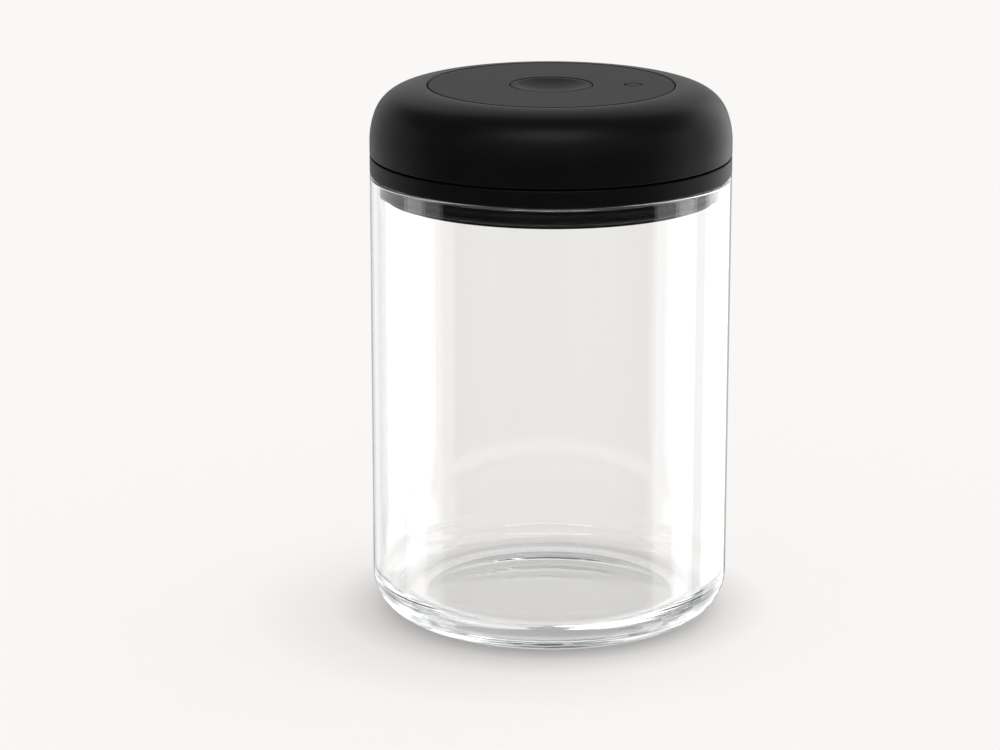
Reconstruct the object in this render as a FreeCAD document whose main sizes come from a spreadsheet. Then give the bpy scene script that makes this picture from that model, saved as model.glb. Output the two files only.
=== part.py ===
import FreeCAD, Part
import math
import os
from types import SimpleNamespace

import Sketcher

# Food canister: a glass jar closed by a lid that pumps air out when its cap is turned to and fro.
# The axis of the jar is Z, the jar stands on z = 0 and the indicator is on the +X side. Millimetres.

SIZES = {
    # Glass jar
    "jar_radius": 60.0,
    "jar_height": 150.5,
    "jar_wall": 3.0,
    "jar_floor": 6.0,
    "jar_corner": 13.0,
    "jar_inner_corner": 10.0,
    "rim_round": 1.2,
    "foot_land": 5.0,
    "foot_recess": 1.2,
    # Lid base: flange on the rim, plug in the mouth, floor, and the spigot that centres the cap
    "flange_height": 5.8,
    "flange_round": 1.2,
    "edge_round": 0.4,
    "plug_gap": 2.2,
    "plug_depth": 7.3,
    "plug_wall": 3.0,
    "floor_thickness": 2.5,
    "flange_wall": 7.5,
    "spigot_height": 4.7,
    "spigot_wall": 1.9,
    "spigot_gap": 0.4,
    # Gasket round the plug
    "gasket_height": 5.4,
    "gasket_land": 0.7,
    "gasket_seat": 1.6,
    "gasket_gap": 0.2,
    "gasket_lip": 0.7,
    # Turning cap
    "cap_height": 22.6,
    "cap_wall": 2.4,
    "seam_gap": 0.6,
    "cap_side": 4.1,
    "shoulder_width": 19.0,
    "shoulder_radius": 12.7,
    "rib_height": 2.0,
    "glide_height": 1.7,
    "lip_reach": 2.0,
    "lip_thickness": 2.1,
    "lip_gap": 0.3,
    # Top disc with the well for the button
    "disc_gap": 0.4,
    "disc_thickness": 2.2,
    "disc_rib": 2.2,
    "well_depth": 9.4,
    "well_wall": 2.0,
    "well_floor": 2.0,
    # Pump
    "pump_width": 12.0,
    "pump_stack": 10.6,
    "core_wall": 3.0,
    "barrel_wall": 2.0,
    "barrel_foot": 2.5,
    "barrel_foot_reach": 4.2,
    "barrel_rise": 1.7,
    "piston_gap": 1.2,
    "piston_height": 3.6,
    "piston_clearance": 0.2,
    "ring_wire": 1.6,
    "ring_clearance": 0.1,
    "ring_play": 0.2,
    "twist_angle": 90.0,
    "pin_radius": 1.2,
    "pin_clearance": 0.2,
    "pin_reach": 0.2,
    "leg_wall": 2.7,
    "leg_angle": 20.0,
    "leg_rise": 2.0,
    "slot_margin": 0.3,
    "roller_radius": 2.1,
    "roller_clearance": 0.15,
    "cam_gap": 0.4,
    "cam_wall": 3.0,
    "cam_land": 2.0,
    "cam_flange": 4.6,
    "cam_flange_thickness": 2.0,
    "cam_flange_drop": 3.4,
    "press_clearance": 0.05,
    # Valves of the pump
    "valve_radius": 4.4,
    "valve_dome": 0.8,
    "valve_stem": 1.2,
    "valve_bulb": 1.9,
    "valve_bulb_height": 0.7,
    "port_radius": 0.7,
    "port_ring": 2.9,
    # Release button and its valve
    "button_radius": 13.5,
    "button_gap": 0.3,
    "button_sink": 0.1,
    "button_skirt": 5.6,
    "button_wall": 1.5,
    "button_web": 1.5,
    "dish_depth": 1.5,
    "button_socket": 2.8,
    "stem_radius": 2.5,
    "stem_clearance": 0.3,
    "stem_below": 3.0,
    "post_radius": 12.0,
    "release_radius": 6.4,
    "release_seal": 1.0,
    "retainer_thickness": 0.8,
    "clip_thickness": 0.6,
    "clip_radius": 4.0,
    "clip_groove": 0.8,
    "spring_radius": 4.6,
    "spring_wire": 0.7,
    # Vacuum indicator
    "indicator_gap": 0.15,
    "indicator_hole": 3.1,
    "indicator_pin": 2.75,
    "indicator_bore": 2.9,
    "indicator_tube": 3.85,
    "indicator_port": 1.2,
    "indicator_seat": 9.5,
    "indicator_length": 11.0,
    "sleeve_height": 1.2,
    "pin_ring_wire": 0.9,
    "pin_ring_clearance": 0.05,
    "indicator_spring_radius": 2.1,
    "indicator_spring_wire": 0.4,
    # Underside: cover and filter
    "cover_thickness": 1.2,
    "cover_gap": 0.3,
    "port_gap": 0.8,
    "filter_radius": 7.8,
    "filter_gap": 0.2,
    "filter_height": 2.2,
    "pocket_wall": 1.2,
    # Screws
    "screw_radius": 1.0,
    "screw_head": 1.9,
    "head_height": 1.3,
    "flat_head_height": 0.6,
    "screw_clearance": 0.2,
    "boss_radius": 2.5,
    "barrel_screw_length": 7.4,
    "cover_screw_length": 4.6,
    "disc_screw_length": 7.8,
    "cam_screw_length": 5.6,
    "hole_spare": 0.5,
}

PIN_COUNT = 3
PIN_ANGLE = 60.0
SCREWS_BELOW = 4
COVER_SCREW_ANGLE = 22.5
BARREL_SCREW_ANGLE = 67.5
PORTS_PER_VALVE = 6
BUTTON_SPRING_TURNS = 4
INDICATOR_SPRING_TURNS = 6
SHOULDER_BLEND = 20.0


class Size:
    """A number together with the sheet expression that it comes from."""

    def __init__(self, number, text):
        self.number = number
        self.text = text

    def __add__(self, other):
        return Size(self.number + number_of(other), f"({self.text} + {text_of(other)})")

    def __radd__(self, other):
        return Size(number_of(other) + self.number, f"({text_of(other)} + {self.text})")

    def __sub__(self, other):
        return Size(self.number - number_of(other), f"({self.text} - {text_of(other)})")

    def __mul__(self, other):
        return Size(self.number * number_of(other), f"({self.text} * {text_of(other)})")

    def __rmul__(self, other):
        return Size(number_of(other) * self.number, f"({text_of(other)} * {self.text})")

    def __truediv__(self, other):
        return Size(self.number / number_of(other), f"({self.text} / {text_of(other)})")

    def __neg__(self):
        return Size(-self.number, f"(-1 * {self.text})")


def number_of(value):
    return value.number if isinstance(value, Size) else float(value)


def text_of(value):
    return value.text if isinstance(value, Size) else f"({value:.12f})"


def make_sheet(doc):
    """Write the sizes into a sheet and hand them back as bound values."""
    sheet = doc.addObject("Spreadsheet::Sheet", "sizes")
    for row, (alias, value) in enumerate(SIZES.items(), start=1):
        sheet.set(f"A{row}", alias)
        sheet.set(f"B{row}", str(value))
        sheet.setAlias(f"B{row}", alias)
    doc.recompute()
    return SimpleNamespace(**{alias: Size(float(sheet.get(alias)), f"sizes.{alias}") for alias in SIZES})


doc = FreeCAD.newDocument("food_canister")
S = make_sheet(doc)
nodes = []


# Drawing helpers

def new_body(label, turned_by=0.0):
    body = doc.addObject("PartDesign::Body", label)
    body.Label = label
    body.Placement.Rotation = FreeCAD.Rotation(FreeCAD.Vector(0, 0, 1), turned_by)
    nodes.append(body)
    return body


def origin_feature(body, role):
    return next(feature for feature in body.Origin.OriginFeatures if feature.Role == role)


def new_sketch(body, name, plane, level=0.0):
    sketch = body.newObject("Sketcher::SketchObject", name)
    sketch.AttachmentSupport = (origin_feature(body, plane), [""])
    sketch.MapMode = "FlatFace"
    if isinstance(level, Size):
        sketch.AttachmentOffset.Base = FreeCAD.Vector(0, 0, level.number)
        sketch.setExpression("AttachmentOffset.Base.z", level.text)
    return sketch


def constrain(sketch, kind, *where, value):
    index = sketch.addConstraint(Sketcher.Constraint(kind, *where, number_of(value)))
    if isinstance(value, Size):
        sketch.setExpression(f"Constraints[{index}]", value.text)


def pin_point(sketch, geometry, end, x, y):
    """Hold a sketch point at x, y measured from the sketch's origin."""
    for kind, axis, value in (("DistanceX", -2, x), ("DistanceY", -1, y)):
        if number_of(value) == 0:
            sketch.addConstraint(Sketcher.Constraint("PointOnObject", geometry, end, axis))
        elif number_of(value) > 0:
            constrain(sketch, kind, -1, 1, geometry, end, value=value)
        else:
            constrain(sketch, kind, geometry, end, -1, 1, value=-value)


def draw_arc(sketch, first, last, radius):
    """Add an arc from first to last and return its index and the ends that lie there."""
    chord = last - first
    half = chord.Length / 2
    side = 1 if number_of(radius) > 0 else -1
    bend = abs(number_of(radius))
    normal = FreeCAD.Vector(-chord.y, chord.x, 0).normalize()
    centre = (first + last) * 0.5 + normal * (side * math.sqrt(max(bend * bend - half * half, 0.0)))
    start, stop = (first, last) if side > 0 else (last, first)
    angles = [math.atan2(point.y - centre.y, point.x - centre.x) for point in (start, stop)]
    if angles[1] < angles[0]:
        angles[1] += 2 * math.pi
    circle = Part.Circle(centre, FreeCAD.Vector(0, 0, 1), bend)
    index = sketch.addGeometry(Part.ArcOfCircle(circle, *angles))
    constrain(sketch, "Radius", index, value=radius if side > 0 else -radius)
    return index, (1, 2) if side > 0 else (2, 1)


def draw_outline(sketch, corners):
    """Draw a closed outline. A corner (x, y, radius) starts an arc to the next corner:
    the arc turns left where the radius is positive and right where it is negative."""
    places = [FreeCAD.Vector(number_of(corner[0]), number_of(corner[1]), 0) for corner in corners]
    sides = []
    for number, corner in enumerate(corners):
        first = places[number]
        last = places[(number + 1) % len(places)]
        if len(corner) == 3:
            sides.append(draw_arc(sketch, first, last, corner[2]))
        else:
            sides.append((sketch.addGeometry(Part.LineSegment(first, last)), (1, 2)))
    for number, corner in enumerate(corners):
        geometry, ends = sides[number]
        before, before_ends = sides[number - 1]
        sketch.addConstraint(Sketcher.Constraint("Coincident", before, before_ends[1], geometry, ends[0]))
        pin_point(sketch, geometry, ends[0], corner[0], corner[1])


def draw_circles(sketch, centres, radius):
    for x, y in centres:
        middle = FreeCAD.Vector(number_of(x), number_of(y), 0)
        circle = Part.Circle(middle, FreeCAD.Vector(0, 0, 1), number_of(radius))
        index = sketch.addGeometry(circle)
        constrain(sketch, "Radius", index, value=radius)
        pin_point(sketch, index, 3, x, y)


def bind(feature, name, value):
    setattr(feature, name, number_of(value))
    if isinstance(value, Size):
        feature.setExpression(name, value.text)


def revolve(body, sketch, axis="V_Axis"):
    feature = body.newObject("PartDesign::Revolution", f"{sketch.Name}_turn")
    feature.Profile = sketch
    feature.ReferenceAxis = (sketch, [axis])
    return feature


def turned(label, corners, turned_by=0.0):
    """A body made by revolving an outline, drawn in the XZ plane, about the jar's axis."""
    body = new_body(label, turned_by)
    sketch = new_sketch(body, f"{label}_profile", "XZ_Plane")
    draw_outline(sketch, corners)
    revolve(body, sketch)
    return body


def upright_axis(sketch, offset, low, high):
    """Add a line that stands upright at an offset along X, to turn an outline about."""
    ends = [FreeCAD.Vector(offset.number, number_of(level), 0) for level in (low, high)]
    line = sketch.addGeometry(Part.LineSegment(*ends), True)
    sketch.addConstraint(Sketcher.Constraint("Vertical", line))
    pin_point(sketch, line, 1, offset, low)
    constrain(sketch, "DistanceY", line, 1, line, 2, value=high - low)


def turn_beside(body, offset, corners):
    """Revolve an outline about a line that stands upright at the given offset along X."""
    sketch = new_sketch(body, f"{body.Label}_profile", "XZ_Plane")
    draw_outline(sketch, [(offset + corner[0],) + tuple(corner[1:]) for corner in corners])
    levels = sorted((corner[1] for corner in corners), key=number_of)
    upright_axis(sketch, offset, levels[0], levels[-1])
    return revolve(body, sketch, "Axis0")


def turn_across(body, level, corners):
    """Revolve an outline about a line that lies along X at the given level."""
    sketch = new_sketch(body, f"{body.Label}_profile", "XZ_Plane")
    draw_outline(sketch, [(corner[0], level + corner[1]) for corner in corners])
    reach = sorted((corner[0] for corner in corners), key=number_of)
    ends = [FreeCAD.Vector(number_of(place), level.number, 0) for place in (reach[0], reach[-1])]
    line = sketch.addGeometry(Part.LineSegment(*ends), True)
    sketch.addConstraint(Sketcher.Constraint("Horizontal", line))
    pin_point(sketch, line, 1, reach[0], level)
    constrain(sketch, "DistanceX", line, 1, line, 2, value=reach[-1] - reach[0])
    return revolve(body, sketch, "Axis0")


def repeat(body, feature, count):
    """Repeat a feature evenly about the jar's axis."""
    pattern = body.newObject("PartDesign::PolarPattern", f"{feature.Name}_ring")
    pattern.Originals = [feature]
    pattern.Axis = (origin_feature(body, "Z_Axis"), [""])
    pattern.Angle = 360
    pattern.Occurrences = count
    body.Tip = pattern
    return pattern


def on_ring(radius, angle):
    """The place on a ring about the axis at an angle in degrees."""
    return radius * math.cos(math.radians(angle)), radius * math.sin(math.radians(angle))


def cut_round(body, name, level, centres, radius, depth, upward=False):
    """Cut round holes from a level, downward unless upward is set."""
    sketch = new_sketch(body, f"{body.Label}_{name}", "XY_Plane", level)
    draw_circles(sketch, centres, radius)
    feature = body.newObject("PartDesign::Pocket", f"{body.Label}_{name}_cut")
    feature.Profile = sketch
    feature.Reversed = upward
    bind(feature, "Length", depth)
    return feature


def add_round(body, name, level, centres, radius, height, upward=True, bore=None):
    """Raise round bosses from a level, with a bore in them where one is given."""
    sketch = new_sketch(body, f"{body.Label}_{name}", "XY_Plane", level)
    draw_circles(sketch, centres, radius)
    if bore is not None:
        draw_circles(sketch, centres, bore)
    feature = body.newObject("PartDesign::Pad", f"{body.Label}_{name}_boss")
    feature.Profile = sketch
    feature.Reversed = not upward
    bind(feature, "Length", height)
    return feature


def cut_box(body, name, plane, level, corners, depth, upward=False):
    """Cut an outline drawn on an origin plane at a level."""
    sketch = new_sketch(body, f"{body.Label}_{name}", plane, level)
    draw_outline(sketch, corners)
    feature = body.newObject("PartDesign::Pocket", f"{body.Label}_{name}_cut")
    feature.Profile = sketch
    feature.Reversed = upward
    bind(feature, "Length", depth)
    return feature


def screw_ring(label, ring, count, angle, head_level, down, length, head_height):
    """A ring of pan screws. The head's seat is at head_level and the shank runs down or up from it."""
    body = new_body(label, angle)
    way = -1 if down else 1
    drive = head_height / 2
    top = head_level - way * head_height
    corners = [
        (0, top + way * drive),
        (S.screw_head / 3, top),
        (S.screw_head, top),
        (S.screw_head, head_level),
        (S.screw_radius, head_level),
        (S.screw_radius, head_level + way * (length - S.screw_radius)),
        (0, head_level + way * length),
    ]
    repeat(body, turn_beside(body, ring, corners), count)
    return body


def quarter_turn_arcs(radius, pitch, quarters):
    """Edges of a coil about Z: two tangent arcs to each quarter turn."""
    def point(angle):
        height = pitch * angle / (2 * math.pi)
        return FreeCAD.Vector(radius * math.cos(angle), radius * math.sin(angle), height)

    def heading(angle):
        rise = pitch / (2 * math.pi)
        return FreeCAD.Vector(-radius * math.sin(angle), radius * math.cos(angle), rise).normalize()

    def arc(start, tangent, stop):
        chord = stop - start
        along = tangent * chord.dot(tangent)
        across = chord - along
        bend = chord.dot(chord) / (2 * across.Length)
        centre = start + across.normalize() * bend
        middle = centre + ((start + stop) * 0.5 - centre).normalize() * bend
        return Part.Arc(start, middle, stop).toShape()

    edges = []
    for quarter in range(quarters):
        low = quarter * math.pi / 2
        high = low + math.pi / 2
        start, stop = point(low), point(high)
        leave, arrive = heading(low), heading(high)
        span = stop - start
        spread = 2 * (1 - leave.dot(arrive))
        lean = span.dot(leave + arrive)
        reach = (math.sqrt(lean * lean + spread * span.dot(span)) - lean) / spread
        join = (start + leave * reach + stop - arrive * reach) * 0.5
        edges.append(arc(start, leave, join))
        edges.append(arc(join, (join - (start + leave * reach)).normalize(), stop))
    return edges


def coil_spring(label, radius, wire, bottom, top, turns, offset=0.0):
    """A wound spring whose wire lies between two levels."""
    pitch = (top.number - bottom.number - wire.number) / turns
    edges = quarter_turn_arcs(radius.number, pitch, 4 * turns)
    path = Part.Wire(edges)
    start = edges[0].valueAt(edges[0].FirstParameter)
    heading = edges[0].tangentAt(edges[0].FirstParameter)
    section = Part.Wire([Part.Circle(start, heading, wire.number / 2).toShape()])
    spring = doc.addObject("Part::Feature", label)
    spring.Label = label
    spring.Shape = path.makePipeShell([section], True, False)
    foot = bottom.number + wire.number / 2
    spring.Placement.Base = FreeCAD.Vector(number_of(offset), 0, foot)
    nodes.append(spring)
    return spring


# Levels and radii that several pieces share

jar_bore = S.jar_radius - S.jar_wall
rim = S.jar_height
floor_under = rim - S.floor_thickness
plug_radius = jar_bore - S.plug_gap
plug_inside = plug_radius - S.plug_wall
plug_foot = rim - S.plug_depth
flange_top = rim + S.flange_height
flange_inside = S.jar_radius - S.flange_wall
cap_foot = flange_top + S.seam_gap
cap_top = cap_foot + S.cap_height
cap_inside = S.jar_radius - S.cap_wall
rib_foot = flange_top + S.glide_height
rib_inside = cap_inside - S.cap_wall
spigot_radius = rib_inside - S.spigot_gap
spigot_top = flange_top + S.spigot_height
cap_mouth = S.jar_radius - S.shoulder_width
disc_radius = cap_mouth - S.disc_gap
disc_under = cap_top - S.disc_thickness
lip_top = disc_under - S.lip_gap
lip_foot = lip_top - S.lip_thickness
core_top = disc_under - S.disc_rib
well_radius = S.button_radius + S.button_gap
well_bottom = cap_top - S.well_depth
post_top = well_bottom - S.well_floor
stem_bore = S.stem_radius + S.stem_clearance
foot_radius = S.jar_radius - S.jar_corner - S.foot_land

barrel_foot_radius = flange_inside - S.cover_gap
barrel_radius = barrel_foot_radius - S.barrel_foot_reach
pump_bore = barrel_radius - S.barrel_wall
core_radius = pump_bore - S.pump_width
core_inside = core_radius - S.core_wall
indicator_offset = core_inside - S.indicator_tube - S.indicator_gap
stroke = (S.cap_height - S.pump_stack) / 2
piston_foot = rim + S.piston_gap
piston_top = piston_foot + S.piston_height
ring_level = piston_foot + S.piston_height / 2
pin_level = ring_level + S.ring_wire / 2 + stroke + S.slot_margin + S.pin_radius + S.pin_clearance
barrel_top = pin_level + stroke + S.pin_radius + S.barrel_rise
barrel_foot_top = rim + S.barrel_foot
cam_bore = barrel_radius + S.cam_gap
cam_radius = cam_bore + S.cam_wall
cam_slot_half = S.roller_radius + S.roller_clearance
cam_foot = pin_level - cam_slot_half - S.cam_land
cam_top = pin_level + stroke + cam_slot_half + S.cam_land
cam_flange_top = pin_level + stroke - S.cam_flange_drop + S.cam_flange_thickness
cam_flange_foot = cam_flange_top - S.cam_flange_thickness
piston_outside = pump_bore - S.piston_clearance
piston_inside = core_radius + S.piston_clearance
valve_offset = (pump_bore + core_radius) / 2

cover_foot = plug_foot
cover_top = cover_foot + S.cover_thickness
cover_radius = plug_inside - S.cover_gap
cover_port = S.release_radius + S.port_gap
cover_screw_ring = cover_radius - S.screw_head - S.boss_radius / 2
barrel_screw_ring = (barrel_radius + barrel_foot_radius) / 2
disc_screw_ring = (S.post_radius + stem_bore + S.screw_clearance) / 2 + S.screw_radius
cam_screw_ring = cam_radius + S.cam_flange / 2
pilot_radius = S.screw_radius + S.press_clearance
pass_radius = S.screw_radius + S.screw_clearance

# The cap's shoulder is three tangent arcs: a wide one off the top, a tight one, a wide one into the side
blend_sin = math.sin(math.radians(SHOULDER_BLEND))
blend_cos = math.cos(math.radians(SHOULDER_BLEND))
blend_rest = 1 - blend_cos
shoulder_drop = S.cap_height - S.cap_side
tight_step = S.shoulder_radius * (blend_cos - blend_sin)
wide_across = S.shoulder_width - tight_step
wide_down = shoulder_drop - tight_step
blend_scale = 1 / (blend_sin * blend_sin - blend_rest * blend_rest)
top_radius = (wide_across * blend_sin - wide_down * blend_rest) * blend_scale
side_radius = (wide_down * blend_sin - wide_across * blend_rest) * blend_scale
shoulder_in = (cap_mouth + top_radius * blend_sin, cap_top - top_radius * blend_rest)
shoulder_out = (shoulder_in[0] + tight_step, shoulder_in[1] - tight_step)
side_start = cap_top - shoulder_drop


# The jar

def make_jar():
    bow = (foot_radius * foot_radius + S.foot_recess * S.foot_recess) / (2 * S.foot_recess)
    turned("glass_jar", [
        (0, S.foot_recess, -bow),
        (foot_radius, 0),
        (S.jar_radius - S.jar_corner, 0, S.jar_corner),
        (S.jar_radius, S.jar_corner),
        (S.jar_radius, rim - S.rim_round, S.rim_round),
        (S.jar_radius - S.rim_round, rim),
        (jar_bore + S.rim_round, rim, S.rim_round),
        (jar_bore, rim - S.rim_round),
        (jar_bore, S.jar_floor + S.jar_inner_corner, -S.jar_inner_corner),
        (jar_bore - S.jar_inner_corner, S.jar_floor),
        (0, S.jar_floor),
    ])


# The lid's fixed pieces

def make_lid_base():
    groove_foot = plug_foot + S.gasket_land
    groove_top = groove_foot + S.gasket_height
    groove_radius = plug_radius - S.gasket_seat
    body = turned("lid_base", [
        (stem_bore, floor_under),
        (plug_inside, floor_under),
        (plug_inside, plug_foot),
        (plug_radius, plug_foot),
        (plug_radius, groove_foot),
        (groove_radius, groove_foot),
        (groove_radius, groove_top),
        (plug_radius, groove_top),
        (plug_radius, rim),
        (S.jar_radius - S.flange_round, rim, S.flange_round),
        (S.jar_radius, rim + S.flange_round),
        (S.jar_radius, flange_top - S.edge_round, S.edge_round),
        (S.jar_radius - S.edge_round, flange_top),
        (spigot_radius, flange_top),
        (spigot_radius, spigot_top),
        (spigot_radius - S.spigot_wall, spigot_top),
        (spigot_radius - S.spigot_wall, flange_top),
        (flange_inside, flange_top),
        (flange_inside, rim),
        (core_radius, rim),
        (core_radius, core_top),
        (core_inside, core_top),
        (core_inside, rim),
        (S.post_radius, rim),
        (S.post_radius, post_top),
        (stem_bore, post_top),
    ])
    boss_height = floor_under - cover_top
    spots = [on_ring(cover_screw_ring, COVER_SCREW_ANGLE)]
    repeat(body, add_round(body, "cover", floor_under, spots, S.boss_radius, boss_height, upward=False),
           SCREWS_BELOW)
    spots = [on_ring(barrel_screw_ring, BARREL_SCREW_ANGLE)]
    repeat(body, add_round(body, "barrel", floor_under, spots, S.boss_radius, boss_height, upward=False),
           SCREWS_BELOW)
    inlet = [(-valve_offset, 0)]
    pocket_bore = S.filter_radius + S.filter_gap
    add_round(body, "pocket", floor_under, inlet, pocket_bore + S.pocket_wall, boss_height,
              upward=False, bore=pocket_bore)
    drill_lid_base(body, inlet)


def drill_lid_base(body, inlet):
    spots = [on_ring(cover_screw_ring, COVER_SCREW_ANGLE)]
    depth = S.cover_screw_length - S.cover_thickness + S.flat_head_height + S.hole_spare
    repeat(body, cut_round(body, "cover_pilot", cover_top, spots, pilot_radius, depth, upward=True),
           SCREWS_BELOW)
    spots = [on_ring(barrel_screw_ring, BARREL_SCREW_ANGLE)]
    depth = S.barrel_screw_length - S.barrel_foot + S.hole_spare
    repeat(body, cut_round(body, "barrel_pilot", rim, spots, pilot_radius, depth), SCREWS_BELOW)
    depth = S.disc_screw_length - S.well_floor + S.hole_spare
    spots = [(disc_screw_ring, 0)]
    repeat(body, cut_round(body, "disc_pilot", post_top, spots, pilot_radius, depth), PIN_COUNT)
    cut_round(body, "inlet_stem", rim, inlet, S.valve_stem + S.press_clearance, S.floor_thickness)
    cut_round(body, "inlet_ports", rim, port_places(-valve_offset), S.port_radius, S.floor_thickness)
    cut_round(body, "indicator_port", rim, [(indicator_offset, 0)], S.indicator_port, S.floor_thickness)


def port_places(offset):
    """The air holes round a valve's stem."""
    step = 360.0 / PORTS_PER_VALVE
    ring = [on_ring(S.port_ring, step * (number + 0.5)) for number in range(PORTS_PER_VALVE)]
    return [(offset + x, y) for x, y in ring]


def make_gasket():
    foot = plug_foot + S.gasket_land
    top = foot + S.gasket_height
    back = plug_radius - S.gasket_seat
    tip = jar_bore - S.gasket_gap
    waist = plug_radius + S.gasket_lip / 2
    lift = S.gasket_height / 5
    turned("jar_gasket", [
        (back, foot),
        (plug_radius, foot),
        (tip, foot + lift),
        (tip, foot + lift + S.gasket_lip),
        (waist, foot + 2 * lift),
        (waist, foot + 3 * lift),
        (tip, foot + 3 * lift + S.gasket_lip / 2),
        (tip, foot + 3 * lift + 3 * S.gasket_lip / 2),
        (plug_radius, top),
        (back, top),
    ])


def make_cover():
    body = turned("base_cover", [
        (cover_port, cover_foot),
        (cover_radius - S.edge_round, cover_foot, S.edge_round),
        (cover_radius, cover_foot + S.edge_round),
        (cover_radius, cover_top),
        (cover_port, cover_top),
    ])
    spots = [on_ring(cover_screw_ring, COVER_SCREW_ANGLE)]
    repeat(body, cut_round(body, "screw", cover_top, spots, pass_radius, S.cover_thickness), SCREWS_BELOW)
    recess = S.screw_head + S.screw_clearance
    repeat(body, cut_round(body, "recess", cover_foot, spots, recess, S.flat_head_height, upward=True),
           SCREWS_BELOW)
    vents = [(-valve_offset, 0)] + port_places(-valve_offset)
    cut_round(body, "vents", cover_top, vents, S.port_radius, S.cover_thickness)


def make_filter():
    body = new_body("filter_disc")
    turn_beside(body, -valve_offset, [
        (0, cover_top),
        (S.filter_radius, cover_top),
        (S.filter_radius, cover_top + S.filter_height),
        (0, cover_top + S.filter_height),
    ])


def make_valve(label, offset, under, seat):
    """A soft mushroom valve: a stem through a wall, a flap on its upper face and a bulb below it."""
    body = new_body(label)
    turn_beside(body, offset, [
        (0, under - S.valve_bulb_height),
        (S.valve_stem, under - S.valve_bulb_height),
        (S.valve_bulb, under),
        (S.valve_stem, under),
        (S.valve_stem, seat),
        (S.valve_radius, seat),
        (S.valve_radius, seat + S.valve_dome / 2),
        (S.valve_stem, seat + S.valve_dome),
        (0, seat + S.valve_dome),
    ])


def make_barrel():
    groove_in = pump_bore + S.barrel_wall / 4
    groove_out = groove_in + S.ring_wire
    body = turned("pump_barrel", [
        (pump_bore, rim),
        (groove_in, rim),
        (groove_in, rim + S.ring_wire),
        (groove_out, rim + S.ring_wire),
        (groove_out, rim),
        (barrel_foot_radius, rim),
        (barrel_foot_radius, barrel_foot_top),
        (barrel_radius, barrel_foot_top),
        (barrel_radius, barrel_top),
        (pump_bore, barrel_top),
    ], turned_by=PIN_ANGLE)
    half = S.pin_radius + S.pin_clearance
    slot_foot = pin_level - half
    slot = [
        (pump_bore - S.barrel_wall, -half),
        (barrel_radius + S.cam_gap / 2, -half),
        (barrel_radius + S.cam_gap / 2, half),
        (pump_bore - S.barrel_wall, half),
    ]
    repeat(body, cut_box(body, "slot", "XY_Plane", barrel_top, slot, barrel_top - slot_foot), PIN_COUNT)
    spots = [on_ring(barrel_screw_ring, BARREL_SCREW_ANGLE - PIN_ANGLE)]
    repeat(body, cut_round(body, "screw", barrel_foot_top, spots, pass_radius, S.barrel_foot), SCREWS_BELOW)


def make_ring(label, middle, level, radius, offset=None):
    """A round-section sealing ring about the jar's axis, or about a line at an offset along X."""
    body = new_body(label)
    sketch = new_sketch(body, f"{label}_profile", "XZ_Plane")
    if offset is None:
        draw_circles(sketch, [(middle, level)], radius)
        revolve(body, sketch)
    else:
        draw_circles(sketch, [(offset + middle, level)], radius)
        upright_axis(sketch, offset, level - radius, level + radius)
        revolve(body, sketch, "Axis0")


def make_glide_ring():
    turned("glide_ring", [
        (rib_inside, flange_top),
        (cap_inside - S.spigot_gap, flange_top),
        (cap_inside - S.spigot_gap, rib_foot),
        (rib_inside, rib_foot),
    ])


def make_disc():
    body = turned("top_disc", [
        (stem_bore, post_top),
        (well_radius + S.well_wall, post_top),
        (well_radius + S.well_wall, disc_under),
        (core_inside, disc_under),
        (core_inside, core_top),
        (core_radius, core_top),
        (core_radius, disc_under),
        (disc_radius, disc_under),
        (disc_radius, cap_top - S.edge_round, S.edge_round),
        (disc_radius - S.edge_round, cap_top),
        (well_radius + S.edge_round, cap_top, S.edge_round),
        (well_radius, cap_top - S.edge_round),
        (well_radius, well_bottom),
        (stem_bore, well_bottom),
    ])
    spots = [(disc_screw_ring, 0)]
    repeat(body, cut_round(body, "screw", well_bottom, spots, pass_radius, S.well_floor), PIN_COUNT)
    place = [(indicator_offset, 0)]
    cut_round(body, "indicator", cap_top, place, S.indicator_hole, S.disc_thickness)
    seat = S.indicator_tube + S.press_clearance
    cut_round(body, "sleeve", disc_under, place, seat, S.sleeve_height, upward=True)


def make_indicator():
    place = indicator_offset
    seat = rim + S.indicator_seat
    body = new_body("indicator_housing")
    turn_beside(body, place, [
        (S.indicator_port, rim),
        (S.indicator_tube, rim),
        (S.indicator_tube, disc_under),
        (S.indicator_bore, disc_under),
        (S.indicator_bore, seat),
        (S.indicator_port, seat),
    ])
    body = new_body("indicator_sleeve")
    turn_beside(body, place, [
        (S.indicator_hole, disc_under),
        (S.indicator_tube, disc_under),
        (S.indicator_tube, disc_under + S.sleeve_height),
        (S.indicator_hole, disc_under + S.sleeve_height),
    ])
    top = cap_top - S.button_sink
    foot = top - S.indicator_length
    ring_radius = S.pin_ring_wire / 2
    ring_middle = S.indicator_bore - S.pin_ring_clearance - ring_radius
    groove = ring_middle - ring_radius
    ring_low = foot + S.pin_ring_wire
    ring_high = ring_low + S.pin_ring_wire + S.ring_play
    body = new_body("indicator_pin")
    turn_beside(body, place, [
        (0, foot),
        (S.indicator_pin, foot),
        (S.indicator_pin, ring_low),
        (groove, ring_low),
        (groove, ring_high),
        (S.indicator_pin, ring_high),
        (S.indicator_pin, top - S.edge_round, S.edge_round),
        (S.indicator_pin - S.edge_round, top),
        (0, top),
    ])
    make_ring("indicator_seal", ring_middle, (ring_low + ring_high) / 2, ring_radius, place)
    coil_spring("indicator_spring", S.indicator_spring_radius, S.indicator_spring_wire,
                seat, foot, INDICATOR_SPRING_TURNS, place)


# The turning cap

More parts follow.
